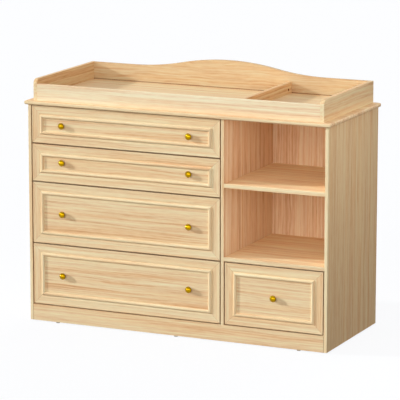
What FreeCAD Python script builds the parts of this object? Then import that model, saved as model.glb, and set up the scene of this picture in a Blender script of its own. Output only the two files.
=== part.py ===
import FreeCAD, Part
import math
import os

# A changing dresser in pale laminated board: a case with a bank of drawers on the left, two open
# cubbies over one drawer on the right, and a changing tray with a crested back on its top board.
# Millimetres, +Z up, front towards -Y, origin on the floor under the middle of the bounding box.

Vector = FreeCAD.Vector

# ---- Case -----------------------------------------------------------------------------------------
board = 15.0                 # level case boards and every tray board
upright = 12.0               # side panels and the divider
case_width = 1180.0          # over the side panels
case_depth = 478.0
top_overhang = 10.0          # top board past the side panels and past their front edges
top_edge_radius = 6.0
eased_edge = 1.2             # rounding of the panels' front edges
glide_height = 4.0           # the case stands this far off the floor
plinth_height = 60.0
left_bay_width = 758.5       # between the left side panel and the divider
lower_cubby_height = 251.5
back_panel_thickness = 5.0
back_panel_inset = 33.0      # from the back of the case to the back panel's rear face
groove_depth = 6.0
rear_rail_height = 60.0

# ---- Drawer fronts --------------------------------------------------------------------------------
gap = 3.5                    # round every drawer front
top_gap = 2.0                # over the top left front
deep_front = 226.5
shallow_front = 138.5
front_setback = 0.5          # frame face behind the side panels' front edges
frame_thickness = 16.0
moulding_width = 46.0
front_edge_radius = 1.5
dish_start = 3.0             # shallow dish along the moulding's flat
dish_end = 25.0
dish_depth = 0.6
quirk_at = 32.5              # low line beside the bead
quirk_depth = 0.9
bead_crest_at = 39.5
bead_height = 4.2
lip_drop = 0.4               # bead's inner foot, below the frame face
panel_drop = 1.4             # inset panel's face, below the frame face
inset_panel_thickness = 6.0
panel_groove_at = 39.0       # bottom of the groove that holds the inset panel
panel_play = 1.0

# ---- Drawer boxes ---------------------------------------------------------------------------------
box_board = 12.0
box_back_clearance = 23.0    # behind the drawer box, to the back panel
box_rise = 12.0              # box's lower edge above the front's lower edge
box_headroom = 30.0          # box's upper edge below the front's upper edge
bottom_thickness = 4.0
bottom_rise = 10.0
bottom_groove = 5.0

# ---- Drawer runners -------------------------------------------------------------------------------
side_clearance = 12.7        # between drawer box and case, filled by the runner
runner_rise = 40.0           # runner's centre line above the bottom of the drawer box
channel_height = 32.0
channel_depth = 11.0
channel_setback = 2.0        # fixed channel behind the back of the drawer fronts
runner_sheet = 1.2
running_clearance = 0.1
rail_tip_gap = 1.0           # rail flange to channel web
runner_overlap = 120.5       # of the runner that stays inside when the drawer is right out
stop_thickness = 3.0
stop_height = 12.0
stop_setback = 5.0
channel_stop_depth = 6.0
rail_stop_depth = 8.5
stop_clearance = 0.5
runner_screw_inset = 70.0    # from each end of the runner
runner_screw_stagger = 16.0  # so that screws from both faces of the divider miss each other

# ---- Knobs ----------------------------------------------------------------------------------------
knob_radius = 12.0
knob_reach = 16.0
knob_neck_radius = 5.0
knob_neck_length = 3.0
knob_rim_radius = 4.6
knob_pair_half = 254.0       # knobs of a wide drawer, each side of its middle
second_knob_lift = 6.0       # the second drawer's knobs sit a little above the middle
knob_screw_radius = 2.0
knob_screw_grip = 6.0

# ---- Tray -----------------------------------------------------------------------------------------
tray_inset = 30.0            # in from each end of the top board
tray_setback = 15.5          # back from the top board's front edge
tray_side_height = 79.0
tray_rail_height = 61.0
tray_divider_height = 41.0
tray_divider_x = 248.0       # middle of its thickness
tray_housing = 3.0           # depth of the groove in the tray's floor that the divider stands in
tray_corner_radius = 20.0
tray_edge = 1.5
crest_rise = 40.0
crest_half_width = 385.0
strap_hole_radius = 5.0
strap_hole_from_crest = 28.0
strap_hole_rise = 15.5

# ---- Fasteners ------------------------------------------------------------------------------------
dowel_radius = 4.0
tray_dowel_radius = 3.0
dowel_length = 34.0
dowel_in_face = 10.0         # of its length, in the panel it meets face on
joint_setback = 60.0         # outermost dowels, in from the front and from the back panel
cam_radius = 7.5
cam_floor = 2.0              # of board left under a cam
cam_distance = 24.0          # cam's middle to the board's end
cam_bolt_radius = 3.0
screw_head_radius = 3.5
screw_head_height = 1.4
screw_radius = 1.75
runner_screw_length = 10.0
front_screw_length = 23.0
front_screw_inset = 8.0
tray_screw_inset = 60.0
tray_screw_length = 25.0
glide_radius = 7.0
glide_spread = 480.0         # outer glides from the middle
glide_nail_radius = 1.5
glide_nail_length = 14.0
cut_past = 1.0               # how far a cutting shape runs past the face it opens

# ---- Worked out -----------------------------------------------------------------------------------
knob_tip_ahead = knob_reach - front_setback - panel_drop
overall_depth = case_depth + knob_tip_ahead
front_y = knob_tip_ahead - overall_depth / 2
back_y = front_y + case_depth
case_half = case_width / 2
inner_half = case_half - upright
top_half = case_half + top_overhang
divider_left = left_bay_width - inner_half
divider_right = divider_left + upright

floor_z = glide_height
plinth_top = floor_z + plinth_height
front_levels = []
level = plinth_top + gap
for front_height in (deep_front, deep_front, shallow_front, shallow_front):
    front_levels.append(level)
    level += front_height + gap
case_top = level - gap + top_gap
top_z = case_top + board
lower_shelf_z = front_levels[0] + deep_front + gap
upper_shelf_z = lower_shelf_z + board + lower_cubby_height
back_panel_y = back_y - back_panel_inset - back_panel_thickness
frame_y = front_y + front_setback
panel_y = frame_y + panel_drop
box_y = frame_y + frame_thickness
box_end_y = back_panel_y - box_back_clearance
travel = box_end_y - box_y - runner_overlap
tray_half = top_half - tray_inset
tray_front_y = front_y - top_overhang + tray_setback
tray_floor_z = top_z + board
crest_y = back_y - board
joint_front_y = front_y + joint_setback
joint_back_y = back_panel_y - joint_setback


def block(x0, x1, y0, y1, z0, z1):
    """A box between two opposite corners."""
    return Part.makeBox(x1 - x0, y1 - y0, z1 - z0, Vector(x0, y0, z0))


def rod(start, direction, length, radius):
    """A cylinder from a point along a direction."""
    return Part.makeCylinder(radius, length, Vector(*start), Vector(*direction))


def ease(shape, radius, keep):
    """Round the straight edges whose middle point passes the test."""
    chosen = [edge for edge in shape.Edges if keep(edge.CenterOfMass)]
    return shape.makeFillet(radius, chosen)


def at(value, target):
    """True where a coordinate is on a face."""
    return abs(value - target) < 0.01


def drilled(shape, tools):
    """The shape with every tool that reaches it cut away."""
    for tool in tools:
        if shape.BoundBox.intersect(tool.BoundBox):
            shape = shape.cut(tool)
    return shape


def save(name, pieces):
    """Write one node, of one solid or of a group of separate solids."""
    solids = []
    for piece in pieces:
        solids.extend(piece.Solids)
    shape = solids[0] if len(solids) == 1 else Part.makeCompound(solids)
    shape.exportStep(os.path.join("parts", name + ".step"))
    print(name, len(solids), shape.isValid(), round(shape.Volume / 1000.0, 1))


# ---- Fasteners that join the boards ---------------------------------------------------------------
def dowels_along(joint, direction, radius):
    """A dowel through a joint: its short end in the panel ahead, the rest in the board behind."""
    back = Vector(*joint) - Vector(*direction) * (dowel_length - dowel_in_face)
    return rod((back.x, back.y, back.z), direction, dowel_length, radius)


def cam_fitting(joint, direction, face, thickness):
    """A cam disc let into a board of some thickness, its bolt running on into the panel ahead."""
    ahead = Vector(*direction)
    outward = Vector(*face)
    middle = Vector(*joint) - ahead * cam_distance
    mouth = middle + outward * (thickness / 2)
    disc = Part.makeCylinder(cam_radius, thickness - cam_floor, mouth, outward * -1)
    bolt = Part.makeCylinder(cam_bolt_radius, cam_distance + dowel_in_face, middle, ahead)
    return disc.fuse(bolt).removeSplitter()


def end_joints(z, x_left, x_right, y_first, y_last):
    """Dowels and cams at both ends of a level board, cams opening downwards."""
    dowels = []
    cams = []
    for x, way in ((x_left, -1), (x_right, 1)):
        for y, inward in ((y_first, 1), (y_last, -1)):
            dowels.append(dowels_along((x, y, z), (way, 0, 0), dowel_radius))
            spot = (x, y + inward * 2 * cam_distance, z)
            cams.append(cam_fitting(spot, (way, 0, 0), (0, 0, -1), board))
    return dowels, cams


def standing_joints(x, inner_way):
    """Dowels and cams at the top of an upright panel, cams opening sideways."""
    dowels = []
    cams = []
    for y, inward in ((joint_front_y, 1), (joint_back_y, -1)):
        dowels.append(dowels_along((x, y, case_top), (0, 0, 1), dowel_radius))
        spot = (x, y + inward * 2 * cam_distance, case_top)
        cams.append(cam_fitting(spot, (0, 0, 1), (inner_way, 0, 0), upright))
    return dowels, cams


def rail_joints(z_levels, y, half, radius):
    """Dowels at both ends of a rail between two side panels."""
    dowels = []
    for z in z_levels:
        for way in (-1, 1):
            dowels.append(dowels_along((way * half, y, z), (way, 0, 0), radius))
    return dowels


def screw(start, direction, length):
    """A pan-head screw: its head behind the start point, its shank ahead of it."""
    point = Vector(*start)
    ahead = Vector(*direction)
    head = Part.makeCylinder(screw_head_radius, screw_head_height, point - ahead * screw_head_height, ahead)
    shank = Part.makeCylinder(screw_radius, length, point, ahead)
    return head.fuse(shank).removeSplitter()


# ---- Case boards ----------------------------------------------------------------------------------
def side_panel(way):
    """A full-height side panel with its front edges eased and its back groove cut."""
    x0, x1 = sorted((way * inner_half, way * case_half))
    panel = block(x0, x1, front_y, back_y, floor_z, case_top)
    panel = ease(panel, eased_edge, lambda c: at(c.y, front_y) and at(c.z, (floor_z + case_top) / 2))
    return panel


def back_groove():
    """Room for the back panel's edges in the boards round it."""
    half = inner_half + groove_depth
    low = plinth_top - groove_depth
    high = case_top + groove_depth
    return block(-half, half, back_panel_y, back_panel_y + back_panel_thickness, low, high)


def centre_divider():
    """The upright board between the two bays, from the base board to the top board."""
    panel = block(divider_left, divider_right, front_y, back_panel_y, plinth_top, case_top)
    middle = (plinth_top + case_top) / 2
    return ease(panel, eased_edge, lambda c: at(c.y, front_y) and at(c.z, middle))


def plinth_front():
    """The board under the drawers, flush with the side panels' front edges."""
    return block(-inner_half, inner_half, front_y, front_y + board, floor_z, plinth_top)


def plinth_rear():
    """The rail under the back of the base board."""
    return block(-inner_half, inner_half, back_y - board, back_y, floor_z, plinth_top - board)


def base_board():
    """The floor of both bays, behind the front plinth board."""
    return block(-inner_half, inner_half, front_y + board, back_y, plinth_top - board, plinth_top)


def rear_top_rail():
    """The rail behind the back panel, under the top board, that takes a wall fixing."""
    return block(-inner_half, inner_half, back_y - board, back_y, case_top - rear_rail_height, case_top)


def top_board():
    """The board over the case, with its front and end edges rounded above and below."""
    slab = block(-top_half, top_half, front_y - top_overhang, back_y, case_top, top_z)

    def rounded(c):
        level_edge = at(c.z, case_top) or at(c.z, top_z)
        outer_edge = at(c.y, front_y - top_overhang) or at(abs(c.x), top_half)
        return level_edge and outer_edge

    return ease(slab, top_edge_radius, rounded)


def shelf(z):
    """A fixed shelf between the divider and the right side panel."""
    slab = block(divider_right, inner_half, front_y, back_panel_y, z, z + board)
    return ease(slab, eased_edge, lambda c: at(c.y, front_y) and not at(c.z, z + board / 2))


# ---- Tray -----------------------------------------------------------------------------------------
def tray_side(way):
    """One end of the tray: its top front corner is round and its top edges are eased."""
    x0, x1 = sorted((way * (tray_half - board), way * tray_half))
    top = top_z + tray_side_height
    panel = block(x0, x1, tray_front_y, back_y, top_z, top)
    panel = ease(panel, tray_corner_radius, lambda c: at(c.y, tray_front_y) and at(c.z, top))

    def outline(c):
        on_face = at(c.x, x0) or at(c.x, x1)
        before_corner = c.y < tray_front_y + tray_corner_radius and not at(c.z, top_z)
        return on_face and (at(c.z, top) or before_corner)

    return ease(panel, tray_edge, outline)


def tray_front_rail():
    """The low board across the front of the tray."""
    half = tray_half - board
    top = top_z + tray_rail_height
    rail = block(-half, half, tray_front_y, tray_front_y + board, top_z, top)
    return ease(rail, tray_edge, lambda c: at(c.z, top) and at(c.x, 0))


def tray_floor():
    """The tray's own floor, lying on the top board, with a groove for the divider."""
    half = tray_half - board
    slab = block(-half, half, tray_front_y + board, crest_y, top_z, tray_floor_z)
    x0 = tray_divider_x - board / 2
    x1 = tray_divider_x + board / 2
    low = tray_floor_z - tray_housing
    return slab.cut(block(x0, x1, tray_front_y, back_y, low, tray_floor_z + cut_past))


def tray_divider():
    """The low board that parts off a small compartment, with its strap hole."""
    x0 = tray_divider_x - board / 2
    x1 = tray_divider_x + board / 2
    top = tray_floor_z + tray_divider_height
    panel = block(x0, x1, tray_front_y + board, crest_y, tray_floor_z - tray_housing, top)
    panel = ease(panel, tray_edge, lambda c: at(c.z, top) and not at(c.x, tray_divider_x))
    spot = (x0 - cut_past, crest_y - strap_hole_from_crest, tray_floor_z + strap_hole_rise)
    return panel.cut(rod(spot, (1, 0, 0), board + 2 * cut_past, strap_hole_radius))


def tray_back_crest():
    """The tray's back: level shoulders and a low swell in the middle, drawn with four equal arcs."""
    half = tray_half - board
    shoulder = top_z + tray_side_height
    radius = (crest_half_width ** 2 + crest_rise ** 2) / (4 * crest_rise)
    turn = math.asin(crest_half_width / (2 * radius))
    top_middle = Vector(0, crest_y, shoulder + crest_rise)
    edges = []
    y = crest_y

    def foot_arc(way):
        centre = Vector(way * crest_half_width, y, shoulder + radius)
        start = Vector(way * crest_half_width, y, shoulder)
        across = way * radius
        middle = centre + Vector(-across * math.sin(turn / 2), 0, -radius * math.cos(turn / 2))
        end = centre + Vector(-across * math.sin(turn), 0, -radius * math.cos(turn))
        return start, middle, end

    right_start, right_middle, right_end = foot_arc(1)
    left_start, left_middle, left_end = foot_arc(-1)
    edges.append(Part.LineSegment(Vector(-half, y, top_z), Vector(half, y, top_z)).toShape())
    edges.append(Part.LineSegment(Vector(half, y, top_z), Vector(half, y, shoulder)).toShape())
    edges.append(Part.LineSegment(Vector(half, y, shoulder), right_start).toShape())
    edges.append(Part.Arc(right_start, right_middle, right_end).toShape())
    edges.append(Part.Arc(right_end, top_middle, left_end).toShape())
    edges.append(Part.Arc(left_end, left_middle, left_start).toShape())
    edges.append(Part.LineSegment(left_start, Vector(-half, y, shoulder)).toShape())
    edges.append(Part.LineSegment(Vector(-half, y, shoulder), Vector(-half, y, top_z)).toShape())
    crest = Part.Face(Part.Wire(edges)).extrude(Vector(0, board, 0))

    def upper(c):
        on_face = at(c.y, crest_y) or at(c.y, back_y)
        return on_face and (at(c.z, shoulder) or c.z > shoulder)

    return ease(crest, tray_edge, upper)


# ---- Drawer fronts --------------------------------------------------------------------------------
def moulding_profile():
    """The moulding's section at x = 0: distance from the front's edge up Z, depth along Y."""
    def point(distance, depth):
        return Vector(0, depth, distance)

    corner = front_edge_radius
    slant = corner * (1 - math.sqrt(0.5))
    dish_middle = (dish_start + dish_end) / 2
    back = frame_thickness
    groove_back = panel_drop + inset_panel_thickness
    lines = [
        ("line", point(0, back), point(0, corner)),
        ("arc", point(0, corner), point(slant, slant), point(corner, 0)),
        ("line", point(corner, 0), point(dish_start, 0)),
        ("arc", point(dish_start, 0), point(dish_middle, dish_depth), point(dish_end, 0)),
        ("line", point(dish_end, 0), point(quirk_at, quirk_depth)),
        ("arc", point(quirk_at, quirk_depth), point(bead_crest_at, -bead_height),
         point(moulding_width, lip_drop)),
        ("line", point(moulding_width, lip_drop), point(moulding_width, panel_drop)),
        ("line", point(moulding_width, panel_drop), point(panel_groove_at, panel_drop)),
        ("line", point(panel_groove_at, panel_drop), point(panel_groove_at, groove_back)),
        ("line", point(panel_groove_at, groove_back), point(moulding_width, groove_back)),
        ("line", point(moulding_width, groove_back), point(moulding_width, back)),
        ("line", point(moulding_width, back), point(0, back)),
    ]
    edges = []
    for kind, *points in lines:
        curve = Part.LineSegment(*points) if kind == "line" else Part.Arc(*points)
        edges.append(curve.toShape())
    return Part.Face(Part.Wire(edges))


def mitred_moulding(length):
    """One side of a frame, lying along X about the origin, its outer edge at z = 0."""
    bar = moulding_profile()
    bar.translate(Vector(-length / 2, 0, 0))
    bar = bar.extrude(Vector(length, 0, 0))
    reach = length / 2 - moulding_width
    corners = [
        Vector(-length / 2, -moulding_width, 0),
        Vector(length / 2, -moulding_width, 0),
        Vector(reach, -moulding_width, moulding_width),
        Vector(-reach, -moulding_width, moulding_width),
    ]
    outline = Part.makePolygon(corners + corners[:1])
    wedge = Part.Face(outline).extrude(Vector(0, 2 * moulding_width, 0))
    return bar.common(wedge)


def front_frame(x0, x1, z0, z1):
    """Four mitred mouldings round a drawer front."""
    middle_x = (x0 + x1) / 2
    middle_z = (z0 + z1) / 2
    sides = (
        (x1 - x0, 0, middle_x, z0),
        (x1 - x0, 180, middle_x, z1),
        (z1 - z0, 90, x0, middle_z),
        (z1 - z0, -90, x1, middle_z),
    )
    pieces = []
    for length, turn, x, z in sides:
        piece = mitred_moulding(length)
        piece.rotate(Vector(0, 0, 0), Vector(0, 1, 0), turn)
        piece.translate(Vector(x, frame_y, z))
        pieces.append(piece)
    return pieces


def inset_panel(x0, x1, z0, z1):
    """The flat panel held in the frame's groove."""
    edge = panel_groove_at + panel_play
    back = panel_y + inset_panel_thickness
    return block(x0 + edge, x1 - edge, panel_y, back, z0 + edge, z1 - edge)


def knob(x, z):
    """A round brass knob, turned about the Y axis: a neck, a rounded rim and a domed face."""
    rim_x = knob_radius - knob_rim_radius
    rim_y = knob_neck_length + knob_rim_radius
    reach = knob_reach - knob_rim_radius
    dome_y = (reach ** 2 - rim_x ** 2 - rim_y ** 2) / (2 * (reach - rim_y))
    dome_turn = math.atan2(rim_y - dome_y, rim_x)
    dome_radius = knob_reach - dome_y
    steep = (dome_turn + math.pi / 2) / 2

    def rim(angle):
        across = rim_x + knob_rim_radius * math.cos(angle)
        return Vector(across, -rim_y - knob_rim_radius * math.sin(angle), 0)

    foot = Vector(knob_neck_radius, 0, 0)
    neck_top = Vector(knob_neck_radius, -knob_neck_length, 0)
    tip = Vector(0, -knob_reach, 0)
    dome_middle = Vector(dome_radius * math.cos(steep), -dome_y - dome_radius * math.sin(steep), 0)
    edges = [
        Part.LineSegment(Vector(0, 0, 0), foot).toShape(),
        Part.LineSegment(foot, neck_top).toShape(),
        Part.LineSegment(neck_top, rim(-math.pi / 2)).toShape(),
        Part.Arc(rim(-math.pi / 2), rim(0), rim(dome_turn)).toShape(),
        Part.Arc(rim(dome_turn), dome_middle, tip).toShape(),
        Part.LineSegment(tip, Vector(0, 0, 0)).toShape(),
    ]
    turned = Part.Face(Part.Wire(edges)).revolve(Vector(0, 0, 0), Vector(0, 1, 0), 360)
    turned.translate(Vector(x, panel_y, z))
    return turned


def knob_screw(x, z):
    """The screw from inside the drawer box through its front and the inset panel into the knob."""
    head_y = box_y + box_board
    length = head_y - panel_y + knob_screw_grip
    shank = rod((x, head_y, z), (0, -1, 0), length, knob_screw_radius)
    head = rod((x, head_y, z), (0, 1, 0), screw_head_height, screw_head_radius)
    return shank.fuse(head).removeSplitter()


# ---- Runners --------------------------------------------------------------------------------------
def c_section(x, way, depth, height, y0, y1, z):
    """A channel of folded sheet: its web at x, its flanges reaching the given way."""
    half = height / 2
    x0, x1 = sorted((x, x + way * depth))
    outer = block(x0, x1, y0, y1, z - half, z + half)
    half -= runner_sheet
    x0, x1 = sorted((x + way * runner_sheet, x + way * (depth + cut_past)))
    return outer.cut(block(x0, x1, y0 - cut_past, y1 + cut_past, z - half, z + half))


def stop_block(x, way, depth, y, z):
    """A folded-up tab that ends a runner's travel."""
    x0, x1 = sorted((x, x + way * (runner_sheet + depth)))
    return block(x0, x1, y, y + stop_thickness, z - stop_height / 2, z + stop_height / 2)


def runner_screws(x, way, z):
    """Screws through a runner's web into the board behind it."""
    screws = []
    for spot in (box_y + runner_screw_inset, box_end_y - runner_screw_inset):
        start = (x + way * runner_sheet, spot + way * runner_screw_stagger, z)
        screws.append(screw(start, (-way, 0, 0), runner_screw_length))
    return screws


def case_channel(wall_x, way, z):
    """The runner's fixed half: a channel on the case wall, its stop near the front, its screws."""
    front = box_y + channel_setback
    channel = c_section(wall_x, way, channel_depth, channel_height, front, box_end_y, z)
    tab = stop_block(wall_x, way, channel_stop_depth, box_y + stop_setback, z)
    screws = runner_screws(wall_x, way, z)
    return [drilled(channel.fuse(tab).removeSplitter(), screws)], screws


def drawer_rail(side_x, way, z):
    """The runner's moving half: a smaller channel on the drawer's side, inside the fixed one."""
    height = channel_height - 2 * (runner_sheet + running_clearance)
    depth = side_clearance - runner_sheet - rail_tip_gap
    rail = c_section(side_x, way, depth, height, box_y, box_end_y, z)
    stop_y = box_y + stop_setback + stop_thickness + travel + stop_clearance
    tab = stop_block(side_x, way, rail_stop_depth, stop_y, z)
    screws = runner_screws(side_x, way, z)
    return [drilled(rail.fuse(tab).removeSplitter(), screws)], screws


# ---- Drawers --------------------------------------------------------------------------------------
def drawer(name, bay_left, bay_right, level, front_height, knob_xs, knob_lift):
    """Write one drawer's nodes, and return the case's half of its runners and their screws."""
    x0 = bay_left + gap
    x1 = bay_right - gap
    z0 = level
    z1 = level + front_height
    low = level + box_rise
    high = z1 - box_headroom
    left = bay_left + side_clearance
    right = bay_right - side_clearance
    runner_z = low + runner_rise
    knob_z = (z0 + z1) / 2 + knob_lift
    groove_z = low + bottom_rise

    knobs = [knob(x, knob_z) for x in knob_xs]
    knob_screws = [knob_screw(x, knob_z) for x in knob_xs]
    left_rail, left_screws = drawer_rail(left, -1, runner_z)
    right_rail, right_screws = drawer_rail(right, 1, runner_z)
    rail_screws = left_screws + right_screws

    inner_left = left + box_board
    inner_right = right - box_board
    bottom = block(inner_left - bottom_groove, inner_right + bottom_groove,
                   box_y + box_board - bottom_groove, box_end_y - box_board + bottom_groove,
                   groove_z, groove_z + bottom_thickness)
    box_sides = [
        block(left, inner_left, box_y, box_end_y, low, high),
        block(inner_right, right, box_y, box_end_y, low, high),
    ]
    box_ends = [
        block(inner_left, inner_right, box_y, box_y + box_board, low, high),
        block(inner_left, inner_right, box_end_y - box_board, box_end_y, low, high),
    ]
    front_screws = []
    for x in (inner_left + front_screw_inset, inner_right - front_screw_inset):
        for z in (groove_z + 2 * front_screw_inset, high - 2 * front_screw_inset):
            front_screws.append(screw((x, box_y + box_board, z), (0, -1, 0), front_screw_length))

    frame = [drilled(piece, front_screws) for piece in front_frame(x0, x1, z0, z1)]
    save(name + "_front_frame", frame)
    save(name + "_front_panel", [drilled(inset_panel(x0, x1, z0, z1), knob_screws + front_screws)])
    save(name + "_box_sides", [drilled(piece, rail_screws + [bottom]) for piece in box_sides])
    save(name + "_box_ends", [drilled(piece, knob_screws + front_screws + [bottom]) for piece in box_ends])
    save(name + "_box_bottom", [bottom])
    save(name + "_knobs", [drilled(piece, knob_screws) for piece in knobs] + knob_screws)
    save(name + "_rails_screws", left_rail + right_rail + rail_screws + front_screws)

    left_channel, left_fixings = case_channel(bay_left, 1, runner_z)
    right_channel, right_fixings = case_channel(bay_right, -1, runner_z)
    return left_channel + right_channel, left_fixings + right_fixings


def build_drawers():
    """Write all five drawers, and return the case's channels and their screws."""
    channels = []
    fixings = []
    middle = (divider_left - inner_half) / 2
    pair = (middle - knob_pair_half, middle + knob_pair_half)
    single = ((divider_right + inner_half) / 2,)
    lifts = (0, second_knob_lift, 0, 0)
    heights = (shallow_front, shallow_front, deep_front, deep_front)
    for index in range(4):
        level = front_levels[3 - index]
        name = "drawer_" + str(index + 1)
        more, screws = drawer(name, -inner_half, divider_left, level, heights[index], pair, lifts[index])
        channels.extend(more)
        fixings.extend(screws)
    more, screws = drawer("drawer_5", divider_right, inner_half, front_levels[0], deep_front, single, 0)
    return channels + more, fixings + screws


# ---- Glides and tray screws -----------------------------------------------------------------------
def floor_glides():
    """Nail-on glides under the front plinth board and the rear rail."""
    glides = []
    for y in (front_y + board / 2, back_y - board / 2):
        for x in (-glide_spread, 0, glide_spread):
            pad = rod((x, y, 0), (0, 0, 1), glide_height, glide_radius)
            nail = rod((x, y, glide_height), (0, 0, 1), glide_nail_length, glide_nail_radius)
            glides.append(pad.fuse(nail).removeSplitter())
    return glides


def tray_screws():
    """Screws up through the top board into the tray's floor."""
    screws = []
    inset = tray_screw_inset
    for y in (tray_front_y + inset, crest_y - inset):
        for x in (-inner_half + inset, divider_left - inset, inner_half - inset):
            screws.append(screw((x, y, case_top), (0, 0, 1), tray_screw_length))
    return screws


def build_case(channels, channel_screws):
    """Write the case, the tray and everything that joins them."""
    dowels = []
    cams = []
    base_middle = plinth_top - board / 2
    levels = (
        (base_middle, -inner_half, inner_half),
        (lower_shelf_z + board / 2, divider_right, inner_half),
        (upper_shelf_z + board / 2, divider_right, inner_half),
    )
    for z, x_left, x_right in levels:
        more_dowels, more_cams = end_joints(z, x_left, x_right, joint_front_y, joint_back_y)
        dowels.extend(more_dowels)
        cams.extend(more_cams)
    uprights = (
        (-inner_half - upright / 2, 1),
        (divider_left + upright / 2, -1),
        (inner_half + upright / 2, -1),
    )
    for x, way in uprights:
        more_dowels, more_cams = standing_joints(x, way)
        dowels.extend(more_dowels)
        cams.extend(more_cams)
    for y in (joint_front_y, joint_back_y):
        foot = (divider_left + upright / 2, y, plinth_top)
        dowels.append(dowels_along(foot, (0, 0, -1), dowel_radius))
    front_rail_y = front_y + board / 2
    rear_rail_y = back_y - board / 2
    plinth_levels = (floor_z + board, plinth_top - board)
    dowels.extend(rail_joints(plinth_levels, front_rail_y, inner_half, dowel_radius))
    dowels.extend(rail_joints((floor_z + board,), rear_rail_y, inner_half, dowel_radius))
    dowels.extend(rail_joints((case_top - rear_rail_height / 2,), rear_rail_y, inner_half, dowel_radius))
    tray_rail_y = tray_front_y + board / 2
    tray_inner = tray_half - board
    rail_levels = (top_z + board, top_z + tray_rail_height - board)
    crest_levels = (top_z + board, top_z + tray_side_height - board)
    dowels.extend(rail_joints(rail_levels, tray_rail_y, tray_inner, tray_dowel_radius))
    dowels.extend(rail_joints(crest_levels, crest_y + board / 2, tray_inner, tray_dowel_radius))

    glides = floor_glides()
    screws = tray_screws()
    sheet = back_groove()
    tools = dowels + cams + glides + screws + channel_screws + [sheet]
    boards = {
        "side_panel_left": side_panel(-1),
        "side_panel_right": side_panel(1),
        "centre_divider": centre_divider(),
        "base_board": base_board(),
        "plinth_front": plinth_front(),
        "plinth_rear": plinth_rear(),
        "rear_top_rail": rear_top_rail(),
        "top_board": top_board(),
        "shelf_lower": shelf(lower_shelf_z),
        "shelf_upper": shelf(upper_shelf_z),
        "tray_side_left": tray_side(-1),
        "tray_side_right": tray_side(1),
        "tray_front_rail": tray_front_rail(),
        "tray_back_crest": tray_back_crest(),
        "tray_floor": tray_floor(),
        "tray_divider": tray_divider(),
    }
    for name, shape in boards.items():
        save(name, [drilled(shape, tools)])
    save("back_panel", [sheet])
    save("carcass_dowels", dowels)
    save("cam_fittings", cams)
    save("floor_glides", glides)
    save("tray_screws", screws)
    save("runner_channels", channels + channel_screws)


os.makedirs("parts", exist_ok=True)
case_channels, case_screws = build_drawers()
build_case(case_channels, case_screws)
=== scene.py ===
import math

import bpy
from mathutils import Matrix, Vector


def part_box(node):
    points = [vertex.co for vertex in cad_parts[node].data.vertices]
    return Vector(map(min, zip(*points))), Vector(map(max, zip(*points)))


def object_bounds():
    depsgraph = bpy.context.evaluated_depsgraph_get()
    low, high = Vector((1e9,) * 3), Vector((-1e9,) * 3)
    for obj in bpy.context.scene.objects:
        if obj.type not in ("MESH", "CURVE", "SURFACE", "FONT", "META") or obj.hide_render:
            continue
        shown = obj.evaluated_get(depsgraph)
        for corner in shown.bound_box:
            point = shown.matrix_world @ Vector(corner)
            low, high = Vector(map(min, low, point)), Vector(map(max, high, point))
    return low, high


# The looks of a changing dresser in pale laminated board with brass knobs. Metres, in the CAD
# frame: +Z up, front towards -Y, origin on the floor under the middle.

# ---- Camera --------------------------------------------------------------------------------------
CAMERA_TARGET = Vector((0.0993, -0.23195, 0.5126))
CAMERA_TURN = math.radians(24.697)      # round the object, towards +X
CAMERA_RISE = math.radians(11.567)
CAMERA_DISTANCE = 9.627
CAMERA_LENS = 243.5                     # mm
CAMERA_SENSOR = 36.0                    # mm across
CAMERA_REACH = 60.0                     # metres seen

# ---- Light ---------------------------------------------------------------------------------------
PLAIN_LIGHT = (0.97, 1.0, 1.0)
WARM_LIGHT = (1.0, 0.96, 0.90)
SUNS = (                                # name, travel, strength, softness in degrees, colour
    ("key", (1.0, 0.3125, -0.338), 2.95, 3.0, PLAIN_LIGHT),
    ("fill_front", (0.06, 1.0, -0.12), 1.92, 60.0, WARM_LIGHT),
    ("fill_right", (-0.9, 1.0, -0.04), 1.00, 50.0, WARM_LIGHT),
    ("fill_top", (0.0, -0.5, -1.0), 1.18, 90.0, WARM_LIGHT),
    ("fill_back", (0.0, -1.0, -0.06), 1.6, 30.0, WARM_LIGHT),
)
SOFTBOXES = (                           # name, place, aim, watts, width, height, colour
    ("box_right", (1.35, -0.20, 1.00), (0.6, -0.1, 0.75), 2.3, 0.5, 0.5, WARM_LIGHT),
    ("cubby_fill_low", (0.385, -0.236, 0.437), (0.385, 0.0, 0.437), 0.20, 0.37, 0.22, PLAIN_LIGHT),
    ("cubby_fill_high", (0.385, -0.236, 0.693), (0.385, 0.0, 0.693), 0.20, 0.37, 0.22, PLAIN_LIGHT),
)
SKY_COLOUR = (1.0, 0.99, 0.97)
SKY_STRENGTH = 0.05
BACKGROUND = (0.966, 0.974, 0.991)
FLOOR_SIZE = 60.0
FLOOR_NEAR_SHADE = (0.06, 0.05, 0.04)         # painted shade: the floor's bounce colour close to the object, dark like a contact shadow
FLOOR_FAR = (0.60, 0.58, 0.55)
FLOOR_NEAR_REACH = (0.05, 0.60)         # metres from the object between those two
FLOOR_SHADOW_SHARE = 0.12               # share of the seen floor that takes real light and shadow
FLOOR_LIGHT = 0.72                      # what the open floor gets of it

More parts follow.
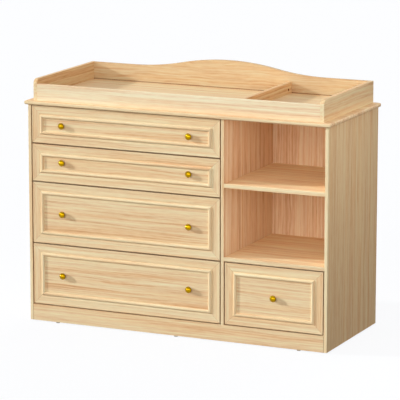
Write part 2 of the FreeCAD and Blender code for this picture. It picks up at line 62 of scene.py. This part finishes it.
# ---- Wood colours, as displayed ------------------------------------------------------------------
WOOD_PALE = (249, 236, 198)
WOOD_SAND = (245, 221, 180)
WOOD_TAN = (236, 200, 157)
WOOD_DARK = (208, 157, 113)
BLUSH = (255, 246, 238)                 # patches of pinker wood
ROSE_AND_SHADE_TINT = (244, 240, 248)                  # pinker and darker over the boards inside the cubbies: partly the wood's tone, partly painted shade
PAINTED_SHADE_TINT = (248, 240, 230)                # painted shade, darker and browner, over the right side and the tray's ends and divider
CREST_TONE_AND_SHADE = (224, 221, 218)                 # darker over the tray's back: partly the wood's tone, partly painted shade
RAIL_TONE_AND_LIGHT = (260, 264, 274)              # paler and less yellow over the tray's front rail: partly the wood's tone, partly painted light
PLAIN = (255, 255, 255)
PORE_BROWN = (214, 176, 130)
# the mitres' joint colour, and painted shade in the drawer gaps, at the plinth's ends, at the tray
# back's foot and in the strap hole
JOINT_AND_SHADE_BROWN = (122, 60, 4)
WOOD_STOPS = ((0.26, WOOD_PALE), (0.46, WOOD_SAND), (0.62, WOOD_TAN), (0.82, WOOD_DARK))

# ---- Wood grain ----------------------------------------------------------------------------------
# Noise scales per metre, along the grain and then both ways across it.
DRIFT_SCALE = (2.6, 8.0, 8.0)
FINE_SCALE = (2.2, 190.0, 190.0)
STREAK_SCALE = (1.5, 80.0, 80.0)
BAND_SCALE = (0.6, 17.0, 17.0)
FLECK_SCALE = (24.0, 260.0, 260.0)
PORE_SCALE = (16.0, 620.0, 620.0)
BLUSH_SCALE = (1.1, 46.0, 46.0)
FINE_SHARE = 0.72                       # what each adds to the tone
STREAK_SHARE = 0.50
BAND_SHARE = 0.32
FLECK_SHARE = 0.32
TONE_OFFSET = -0.43
STRIP_LIFT = 0.12                       # how much paler an edge strip is
BLUSH_RANGE = (0.44, 0.62, 0.0, 0.9)    # from low and high noise to a share
PORE_RANGE = (0.56, 0.72, 0.0, 0.25)
NOISE_RANGE = (0.3, 0.7)                # where nearly all of a noise lies
WOOD_ROUGHNESS = (0.50, 0.64)
WOOD_SHINE = 0.15
PORE_BUMP = (0.00012, 0.5)              # depth in metres and strength
PLAIN_FIGURE = 0.06                     # straight grain; more makes it shorter and wavier
SWAY = (0.012, 0.10)                    # metres aside, and what a figure of 1 adds
PITCH = (0.7, 3.0)                      # repeats along the grain, and what a figure of 1 adds
SEED_STEP = (1.7, 0.61, 0.37)           # metres that a seed of 1 shifts the grain

# ---- Seams and edges, in metres ------------------------------------------------------------------
# painted shade in brown along the plinth's ends and along the foot of the tray's back
SEAM_SHADE_SHARE = 0.8
SEAM_SHADE_CORE = 0.3                         # share of a seam's painted shade width that is at full strength
PLINTH_SEAM_SHADE = 0.0016
CREST_FOOT_SHADE = 0.0040
STRIP_FADE = (0.0010, 0.0016)           # behind the front edge
BORE_SHADE_FADE = (0.0001, 0.0004)            # painted shade on the strap hole's walls, fading out this far outside the hole
BORE_SHADE_SHARE = 0.9
MITRE_FADE = (0.0002, 0.0009)
MITRE_SHARE = 0.36
# painted shade in brown on the drawer fronts' outer edge and on their side faces in the gaps
RIM_SHADE_FADE = (0.0, 0.0016)
RIM_SHADE_SHARE = 0.96
RIM_SHADE_DEPTH = (0.003, 0.010)              # behind the front, where the painted shade fades along the sides
RIM_SHADE_REST = 0.20                         # share of it that is left there
SIDE_SHIFT = 3.3                        # sets the grain of opposite mouldings apart
UPRIGHT_SHIFT = 5.9                     # and of upright ones from level ones
STRAP_HOLE_RADIUS = 0.005
STRAP_HOLE_FROM_CREST = 0.028
STRAP_HOLE_RISE = 0.0155

# ---- Metals and plastic: colours as displayed, noise scales per metre ----------------------------
BRASS_LIGHT = (178, 140, 10)
BRASS_DARK = (156, 121, 6)
BRASS_STOPS = ((0.3, BRASS_LIGHT), (0.7, BRASS_DARK))
BRASS_CLOUD_SCALE = (60.0, 60.0, 60.0)
BRASS_TURNING_SCALE = (200.0, 2500.0, 200.0)
BRASS_ROUGHNESS = (0.12, 0.17)
BRASS_BUMP = (0.00003, 0.25)            # depth in metres and strength
ZINC_LIGHT = (196, 199, 202)
ZINC_DARK = (168, 172, 178)
ZINC_STOPS = ((0.35, ZINC_LIGHT), (0.7, ZINC_DARK))
ZINC_MARK_SCALE = (900.0, 14.0, 900.0)
ZINC_BLOOM_SCALE = (45.0, 45.0, 45.0)
ZINC_ROUGHNESS = (0.26, 0.42)
ZINC_BUMP = (0.00004, 0.4)
GLIDE_LIGHT = (196, 190, 180)
GLIDE_DARK = (150, 142, 130)
GLIDE_STOPS = ((0.3, GLIDE_LIGHT), (0.75, GLIDE_DARK))
GLIDE_SPARK_SCALE = (1800.0, 1800.0, 1800.0)
GLIDE_SCUFF_SCALE = (120.0, 120.0, 120.0)
GLIDE_ROUGHNESS = (0.45, 0.65)
GLIDE_BUMP = (0.00005, 0.6)

DRAWERS = (1, 2, 3, 4, 5)
DRAWER_SEED = (20.0, 2.3)               # the base, and what each number adds
MIX_SHARE, MIX_FIRST, MIX_SECOND, MIX_RESULT = 0, 6, 7, 2      # a colour Mix node's sockets


def colour(rgb):
    """Linear colour with alpha from 0-255 display values."""
    linear = []
    for value in rgb:
        value /= 255.0
        linear.append(value / 12.92 if value <= 0.04045 else ((value + 0.055) / 1.055) ** 2.4)
    return (*linear, 1.0)


# ---- Shader helpers ------------------------------------------------------------------------------
class Shader:
    """A new material, and short calls that add nodes to it and return their output sockets."""

    def __init__(self, name):
        self.material = bpy.data.materials.new(name)
        self.material.use_nodes = True
        self.nodes = self.material.node_tree.nodes
        self.links = self.material.node_tree.links
        self.surface = self.nodes["Principled BSDF"]

    def add(self, kind, inputs=(), **settings):
        """A node of that kind, with values or links on its inputs."""
        node = self.nodes.new(kind)
        for key, value in settings.items():
            setattr(node, key, value)
        for key, value in dict(inputs).items():
            self.put(node.inputs[key], value)
        return node

    def put(self, socket, value):
        """Link an output to a socket, or write a number or colour on it."""
        if isinstance(value, bpy.types.NodeSocket):
            self.links.new(value, socket)
        else:
            socket.default_value = value

    def finish(self, inputs):
        """Put values or links on the surface's inputs, and return the material."""
        for key, value in inputs.items():
            self.put(self.surface.inputs[key], value)
        return self.material

    def maths(self, operation, first, second=0.0):
        return self.add("ShaderNodeMath", {0: first, 1: second}, operation=operation).outputs[0]

    def vector(self, operation, first, second):
        node = self.add("ShaderNodeVectorMath", {0: first, 1: second}, operation=operation)
        return node.outputs[0]

    def length(self, vector):
        node = self.add("ShaderNodeVectorMath", {0: vector}, operation="LENGTH")
        return node.outputs["Value"]

    def blend(self, share, first, second, how="MIX"):
        """Two colours mixed by a share."""
        node = self.add("ShaderNodeMix", data_type="RGBA", blend_type=how)
        self.put(node.inputs[MIX_SHARE], share)
        self.put(node.inputs[MIX_FIRST], first)
        self.put(node.inputs[MIX_SECOND], second)
        return node.outputs[MIX_RESULT]

    def noise(self, place, scale, detail=2.0, roughness=0.5, distortion=0.0):
        """Noise between 0 and 1 over a place stretched by a scale for each axis."""
        stretched = self.vector("MULTIPLY", place, scale)
        inputs = {"Vector": stretched, "Scale": 1.0, "Detail": detail,
                  "Roughness": roughness, "Distortion": distortion}
        return self.add("ShaderNodeTexNoise", inputs).outputs[0]

    def ramp(self, share, stops):
        """Colours, as displayed, spread over 0 to 1."""
        node = self.add("ShaderNodeValToRGB", {0: share})
        elements = node.color_ramp.elements
        while len(elements) < len(stops):
            elements.new(0.5)
        for element, (position, value) in zip(elements, stops):
            element.position = position
            element.color = colour(value)
        return node.outputs[0]

    def spread(self, value, low, high, out_low=0.0, out_high=1.0):
        """A value's range from low to high, mapped to another and held there."""
        inputs = {0: value, 1: low, 2: high, 3: out_low, 4: out_high}
        return self.add("ShaderNodeMapRange", inputs, clamp=True).outputs[0]

    def bump(self, height, depth, strength=1.0):
        inputs = {"Height": height, "Distance": depth, "Strength": strength}
        return self.add("ShaderNodeBump", inputs).outputs[0]

    def axes(self):
        """The object's own X, Y and Z at a point."""
        place = self.add("ShaderNodeTexCoord").outputs["Object"]
        return self.add("ShaderNodeSeparateXYZ", {0: place}).outputs

    def joined(self, x, y, z):
        return self.add("ShaderNodeCombineXYZ", {0: x, 1: y, 2: z}).outputs[0]

    def seeded(self, place, seed):
        """A place shifted so that boards don't share one stretch of grain."""
        return self.vector("ADD", place, tuple(seed * step for step in SEED_STEP))


# ---- Wood ----------------------------------------------------------------------------------------
def grain_place(shader, grain, seed):
    """The point's place with its first coordinate along the grain."""
    x, y, z = shader.axes()
    order = {"X": (x, y, z), "Y": (y, x, z), "Z": (z, x, y)}[grain]
    return shader.seeded(shader.joined(*order), seed)


def finish_wood(shader, place, pale=0.0, figure=PLAIN_FIGURE, tint=PLAIN, edge_strip=None,
                joint_and_shade_line=None):
    """Laminate printed as pale streaky wood, under a thin matt lacquer.

    The edge strip, paler and untinted, and the line of joints and painted shade are shares from 0
    to 1 over the surface.
    """
    drift = shader.noise(place, DRIFT_SCALE)
    aside = SWAY[0] + SWAY[1] * figure
    sway = shader.maths("MULTIPLY", shader.maths("SUBTRACT", drift, 0.5), aside)
    place = shader.vector("ADD", place, shader.joined(0.0, sway, sway))
    pitch = PITCH[0] + PITCH[1] * figure
    fine = shader.noise(place, (FINE_SCALE[0] * pitch, *FINE_SCALE[1:]), roughness=0.6)
    streaks = shader.noise(place, (STREAK_SCALE[0] * pitch, *STREAK_SCALE[1:]))
    bands = shader.noise(place, BAND_SCALE, distortion=0.2)
    flecks = shader.noise(place, FLECK_SCALE, roughness=0.6)
    pores = shader.noise(place, PORE_SCALE, roughness=0.6)

    tone = shader.maths("MULTIPLY", fine, FINE_SHARE)
    for field, share in ((streaks, STREAK_SHARE), (bands, BAND_SHARE), (flecks, FLECK_SHARE)):
        tone = shader.maths("ADD", tone, shader.maths("MULTIPLY", field, share))
    tone = shader.maths("ADD", tone, TONE_OFFSET - pale)
    if edge_strip is not None:
        lift = shader.maths("MULTIPLY", edge_strip, STRIP_LIFT)
        tone = shader.maths("SUBTRACT", tone, lift)
    wood = shader.ramp(tone, WOOD_STOPS)
    blush = shader.noise(place, BLUSH_SCALE, detail=3.0, roughness=0.6)
    wood = shader.blend(shader.spread(blush, *BLUSH_RANGE), wood, colour(BLUSH), "MULTIPLY")
    wood = shader.blend(shader.spread(pores, *PORE_RANGE), wood, colour(PORE_BROWN))
    tint_share = 1.0 if edge_strip is None else shader.maths("SUBTRACT", 1.0, edge_strip)
    wood = shader.blend(tint_share, wood, colour(tint), "MULTIPLY")
    # brown for the mitre joints and for painted shade in gaps, joints and the strap hole
    if joint_and_shade_line is not None:
        wood = shader.blend(joint_and_shade_line, wood, colour(JOINT_AND_SHADE_BROWN))
    return shader.finish({
        "Base Color": wood,
        "Roughness": shader.spread(streaks, *NOISE_RANGE, *WOOD_ROUGHNESS),
        "Normal": shader.bump(pores, *PORE_BUMP),
        "Specular IOR Level": WOOD_SHINE,
    })


def board_wood(name, grain, seed, pale=0.0, figure=PLAIN_FIGURE, tint=PLAIN, banded=None,
               seams=(), bore=None):
    """Wood for a board with its grain along one axis.

    A banded board has a paler strip along its front edge, which lies at that place on Y. Each
    seam is an axis, the neighbour's face on it, and how far from that face its line of painted
    shade fades out. A bore is a hole along X whose walls carry painted shade: its place on Y and
    Z and its radius. A board has seams or a bore, not both.
    """
    shader = Shader(name)
    line = None
    for axis, face, width in seams:
        off = shader.maths("SUBTRACT", shader.axes()["XYZ".index(axis)], face)
        off = shader.maths("ABSOLUTE", off)
        mark = shader.spread(off, width * SEAM_SHADE_CORE, width, SEAM_SHADE_SHARE, 0.0)
        line = mark if line is None else shader.maths("MAXIMUM", line, mark)
    if bore is not None:
        bore_y, bore_z, radius = bore
        _, y, z = shader.axes()
        off = shader.vector("SUBTRACT", shader.joined(0.0, y, z), (0.0, bore_y, bore_z))
        walls = (radius + BORE_SHADE_FADE[0], radius + BORE_SHADE_FADE[1])
        line = shader.spread(shader.length(off), *walls, BORE_SHADE_SHARE, 0.0)
    strip = None
    if banded is not None:
        depth = (banded + STRIP_FADE[0], banded + STRIP_FADE[1])
        strip = shader.spread(shader.axes()[1], *depth, 1.0, 0.0)
    return finish_wood(shader, grain_place(shader, grain, seed), pale, figure, tint, strip, line)


def frame_wood(name, node, seed):
    """Wood for four mitred mouldings: grain along each, faint mitres, brown painted shade round the
    edge.
    """
    low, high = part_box(node)
    middle = (low + high) / 2
    half = (high - low) / 2
    shader = Shader(name)
    maths = shader.maths
    x, y, z = shader.axes()
    off_x = maths("SUBTRACT", x, middle.x)
    off_z = maths("SUBTRACT", z, middle.z)
    from_side = maths("SUBTRACT", half.x, maths("ABSOLUTE", off_x))
    from_top = maths("SUBTRACT", half.z, maths("ABSOLUTE", off_z))
    upright = maths("LESS_THAN", from_side, from_top)
    level = maths("SUBTRACT", 1.0, upright)
    own = maths("ADD", maths("MULTIPLY", maths("SIGN", off_x), upright),
                maths("MULTIPLY", maths("SIGN", off_z), level))
    along = maths("ADD", maths("MULTIPLY", z, upright), maths("MULTIPLY", x, level))
    across = maths("ADD", maths("MULTIPLY", x, upright), maths("MULTIPLY", z, level))
    shift = maths("ADD", maths("MULTIPLY", own, SIDE_SHIFT),
                  maths("MULTIPLY", upright, UPRIGHT_SHIFT))
    place = shader.seeded(shader.joined(maths("ADD", along, shift), across, y), seed)
    apart = maths("ABSOLUTE", maths("SUBTRACT", from_side, from_top))
    mitre = shader.spread(apart, *MITRE_FADE, MITRE_SHARE, 0.0)
    # painted shade: dark brown on the front's outer edge and side faces, fading behind the front to
    # a fifth
    rim_shade = shader.spread(maths("MINIMUM", from_side, from_top), *RIM_SHADE_FADE, RIM_SHADE_SHARE, 0.0)
    depth = (low.y + RIM_SHADE_DEPTH[0], low.y + RIM_SHADE_DEPTH[1])
    rim_shade = maths("MULTIPLY", rim_shade, shader.spread(y, *depth, 1.0, RIM_SHADE_REST))
    return finish_wood(shader, place, pale=0.06, joint_and_shade_line=maths("MAXIMUM", mitre, rim_shade))


# ---- Metal and plastic ---------------------------------------------------------------------------
def brass():
    """Polished, lacquered brass with faint turning marks."""
    shader = Shader("polished_brass")
    place = shader.joined(*shader.axes())
    cloud = shader.noise(place, BRASS_CLOUD_SCALE, detail=3.0)
    turned = shader.noise(place, BRASS_TURNING_SCALE, detail=1.0)
    return shader.finish({
        "Base Color": shader.ramp(cloud, BRASS_STOPS),
        "Roughness": shader.spread(cloud, *NOISE_RANGE, *BRASS_ROUGHNESS),
        "Normal": shader.bump(turned, *BRASS_BUMP),
        "Metallic": 1.0,
    })


def zinc_steel():
    """Zinc-plated sheet with drawing marks along the runners and a patchy bloom."""
    shader = Shader("zinc_steel")
    place = shader.joined(*shader.axes())
    marks = shader.noise(place, ZINC_MARK_SCALE, roughness=0.6)
    bloom = shader.noise(place, ZINC_BLOOM_SCALE, detail=3.0)
    return shader.finish({
        "Base Color": shader.ramp(bloom, ZINC_STOPS),
        "Roughness": shader.spread(marks, *NOISE_RANGE, *ZINC_ROUGHNESS),
        "Normal": shader.bump(marks, *ZINC_BUMP),
        "Metallic": 1.0,
    })


def glide_plastic():
    """Pale grey moulded plastic with a fine spark texture."""
    shader = Shader("glide_plastic")
    place = shader.joined(*shader.axes())
    spark = shader.noise(place, GLIDE_SPARK_SCALE)
    scuffs = shader.noise(place, GLIDE_SCUFF_SCALE, detail=4.0, roughness=0.7)
    return shader.finish({
        "Base Color": shader.ramp(scuffs, GLIDE_STOPS),
        "Roughness": shader.spread(scuffs, *NOISE_RANGE, *GLIDE_ROUGHNESS),
        "Normal": shader.bump(spark, *GLIDE_BUMP),
    })


def dress(frame):
    """Give every CAD node its finish."""
    steel = zinc_steel()
    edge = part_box("centre_divider")[0].y
    top_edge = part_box("top_board")[0].y
    tray_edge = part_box("tray_side_left")[0].y
    tray_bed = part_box("tray_floor")[1].z
    crest_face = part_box("tray_back_crest")[0].y
    # painted shade along the joints at the foot of the tray's back and at the plinth's ends
    crest_foot = (("Z", tray_bed, CREST_FOOT_SHADE),)
    plinth_ends = tuple(("X", corner.x, PLINTH_SEAM_SHADE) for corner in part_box("plinth_front"))
    # painted shade on the walls of the strap hole in the tray's divider
    bore = (crest_face - STRAP_HOLE_FROM_CREST, tray_bed + STRAP_HOLE_RISE, STRAP_HOLE_RADIUS)
    finishes = {
        "side_panel_left": board_wood("side_left_wood", "Z", 1.3, banded=edge),
        "side_panel_right": board_wood("side_right_wood", "Z", 2.9, tint=PAINTED_SHADE_TINT, banded=edge),
        "centre_divider": board_wood("divider_wood", "Z", 4.1, pale=-0.05, tint=ROSE_AND_SHADE_TINT,
                                     banded=edge),
        "base_board": board_wood("base_wood", "X", 5.2),
        "plinth_front": board_wood("plinth_wood", "X", 6.6, seams=plinth_ends),
        "plinth_rear": board_wood("plinth_rear_wood", "X", 7.4),
        "rear_top_rail": board_wood("rear_rail_wood", "X", 8.3),
        "top_board": board_wood("top_wood", "X", 9.7, pale=-0.08, banded=top_edge),
        "shelf_lower": board_wood("shelf_lower_wood", "X", 10.2, pale=-0.04, banded=edge),
        "shelf_upper": board_wood("shelf_upper_wood", "X", 11.8, pale=-0.04, banded=edge),
        "tray_side_left": board_wood("tray_left_wood", "Y", 12.5, tint=PAINTED_SHADE_TINT, banded=tray_edge),
        "tray_side_right": board_wood("tray_right_wood", "Y", 13.1, tint=PAINTED_SHADE_TINT,
                                      banded=tray_edge),
        "tray_front_rail": board_wood("tray_rail_wood", "X", 44.3, pale=0.04, tint=RAIL_TONE_AND_LIGHT),
        "tray_back_crest": board_wood("crest_wood", "X", 15.4, figure=0.35, tint=CREST_TONE_AND_SHADE,
                                      seams=crest_foot),
        "tray_floor": board_wood("tray_floor_wood", "X", 16.9),
        "tray_divider": board_wood("tray_divider_wood", "Y", 17.3, tint=PAINTED_SHADE_TINT, bore=bore),
        "back_panel": board_wood("back_wood", "Z", 18.8, pale=-0.05, tint=ROSE_AND_SHADE_TINT),
        "carcass_dowels": board_wood("dowel_wood", "X", 19.5),
        "cam_fittings": steel,
        "tray_screws": steel,
        "runner_channels": steel,
        "floor_glides": glide_plastic(),
    }
    knob_brass = brass()
    for number in DRAWERS:
        name = f"drawer_{number}_"
        seed = DRAWER_SEED[0] + number * DRAWER_SEED[1]
        box = board_wood(name + "box_wood", "Y", seed + 0.9, pale=0.04, figure=0.15)
        ends = board_wood(name + "ends_wood", "X", seed + 1.3, pale=0.04, figure=0.15)
        finishes[name + "front_frame"] = frame_wood(name + "frame_wood", name + "front_frame", seed)
        finishes[name + "front_panel"] = board_wood(name + "panel_wood", "X", seed + 0.4)
        finishes[name + "box_sides"] = box
        finishes[name + "box_ends"] = ends
        finishes[name + "box_bottom"] = box
        finishes[name + "knobs"] = knob_brass
        finishes[name + "rails_screws"] = steel
    for name, node in frame["nodes"].items():
        node.data.materials.clear()
        node.data.materials.append(finishes[name])


# ---- Stage ---------------------------------------------------------------------------------------
def seen_directly(nodes, links):
    """1 for rays that show the background: from the camera, in gloss and through glass."""
    path = nodes.new("ShaderNodeLightPath")
    total = path.outputs["Is Camera Ray"]
    for other in ("Is Glossy Ray", "Is Transmission Ray"):
        either = nodes.new("ShaderNodeMath")
        either.operation = "MAXIMUM"
        links.new(total, either.inputs[0])
        links.new(path.outputs[other], either.inputs[1])
        total = either.outputs[0]
    return total


def build_floor():
    """A plain pale floor that shows as the background and keeps the object's shadow; to bounce rays
    it is darker near the object, painted shade.
    """
    bpy.ops.mesh.primitive_plane_add(size=FLOOR_SIZE, location=(0.0, 0.0, 0.0))
    floor = bpy.context.object
    floor.name = "floor"
    shader = Shader("pale_floor")
    nodes, links = shader.nodes, shader.links
    nodes.remove(shader.surface)
    low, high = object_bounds()
    half = (high - low) / 2
    past = []
    for place, reach in zip(shader.axes(), (half.x, half.y)):
        beyond = shader.maths("SUBTRACT", shader.maths("ABSOLUTE", place), reach)
        past.append(shader.maths("MAXIMUM", beyond, 0.0))
    away = shader.length(shader.joined(*past, 0.0))
    # painted shade: to bounce rays the floor is dark close to the object and pale further away
    far = shader.spread(away, *FLOOR_NEAR_REACH)
    tone = shader.blend(far, (*FLOOR_NEAR_SHADE, 1.0), (*FLOOR_FAR, 1.0))
    bounce = shader.add("ShaderNodeBsdfDiffuse", {"Color": tone}).outputs[0]
    share = [value * FLOOR_SHADOW_SHARE for value in BACKGROUND]
    rest = [value * (1.0 - FLOOR_SHADOW_SHARE * FLOOR_LIGHT) for value in BACKGROUND]
    lit = shader.add("ShaderNodeBsdfDiffuse", {"Color": (*share, 1.0)}).outputs[0]
    glow = shader.add("ShaderNodeEmission", {"Color": (*rest, 1.0), "Strength": 1.0}).outputs[0]
    shown = shader.add("ShaderNodeAddShader", {0: lit, 1: glow}).outputs[0]
    seen = seen_directly(nodes, links)
    mixed = shader.add("ShaderNodeMixShader", {0: seen, 1: bounce, 2: shown})
    links.new(mixed.outputs[0], nodes["Material Output"].inputs["Surface"])
    floor.data.materials.append(shader.material)


def add_lamp(name, kind, strength, travel, tint):
    """A lamp of some kind and colour whose light travels a given way."""
    lamp = bpy.data.objects.new(name, bpy.data.lights.new(name, kind))
    lamp.data.energy = strength
    lamp.data.color = tint
    lamp.rotation_euler = travel.to_track_quat("-Z", "Y").to_euler()
    bpy.context.scene.collection.objects.link(lamp)
    return lamp


def build_light():
    """A low key light from the far left, soft fills and an even sky, with a white background."""
    for name, travel, strength, softness, tint in SUNS:
        lamp = add_lamp(name, "SUN", strength, Vector(travel), tint)
        lamp.data.angle = math.radians(softness)
    for name, place, aim, strength, width, height, tint in SOFTBOXES:
        lamp = add_lamp(name, "AREA", strength, Vector(aim) - Vector(place), tint)
        lamp.data.shape = "RECTANGLE"
        lamp.data.size = width
        lamp.data.size_y = height
        lamp.location = place
        lamp.visible_camera = False
        lamp.visible_glossy = False

    world = bpy.data.worlds.new("studio")
    bpy.context.scene.world = world
    world.use_nodes = True
    nodes, links = world.node_tree.nodes, world.node_tree.links
    sky = nodes["Background"]
    sky.inputs["Color"].default_value = (*SKY_COLOUR, 1.0)
    sky.inputs["Strength"].default_value = SKY_STRENGTH
    white = nodes.new("ShaderNodeBackground")
    white.inputs["Color"].default_value = (*BACKGROUND, 1.0)
    white.inputs["Strength"].default_value = 1.0
    mixed = nodes.new("ShaderNodeMixShader")
    links.new(seen_directly(nodes, links), mixed.inputs[0])
    links.new(sky.outputs[0], mixed.inputs[1])
    links.new(white.outputs[0], mixed.inputs[2])
    links.new(mixed.outputs[0], nodes["World Output"].inputs["Surface"])


def build_camera():
    """The photograph's viewpoint."""
    flat = math.cos(CAMERA_RISE)
    away = Vector((
        math.sin(CAMERA_TURN) * flat,
        -math.cos(CAMERA_TURN) * flat,
        math.sin(CAMERA_RISE),
    ))
    camera = bpy.data.objects.new("camera", bpy.data.cameras.new("camera"))
    camera.data.sensor_width = CAMERA_SENSOR
    camera.data.lens = CAMERA_LENS
    camera.data.clip_end = CAMERA_REACH
    camera.location = CAMERA_TARGET + away * CAMERA_DISTANCE
    camera.rotation_euler = (-away).to_track_quat("-Z", "Y").to_euler()
    bpy.context.scene.collection.objects.link(camera)
    bpy.context.scene.camera = camera


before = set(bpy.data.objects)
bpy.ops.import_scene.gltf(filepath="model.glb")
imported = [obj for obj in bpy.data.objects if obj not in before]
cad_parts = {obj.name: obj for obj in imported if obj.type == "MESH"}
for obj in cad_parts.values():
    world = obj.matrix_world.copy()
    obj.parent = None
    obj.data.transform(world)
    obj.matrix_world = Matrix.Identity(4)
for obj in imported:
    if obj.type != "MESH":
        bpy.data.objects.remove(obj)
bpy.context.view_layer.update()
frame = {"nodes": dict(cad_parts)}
bpy.context.scene.view_settings.view_transform = "Standard"
build_camera()
dress(frame)
build_floor()
build_light()
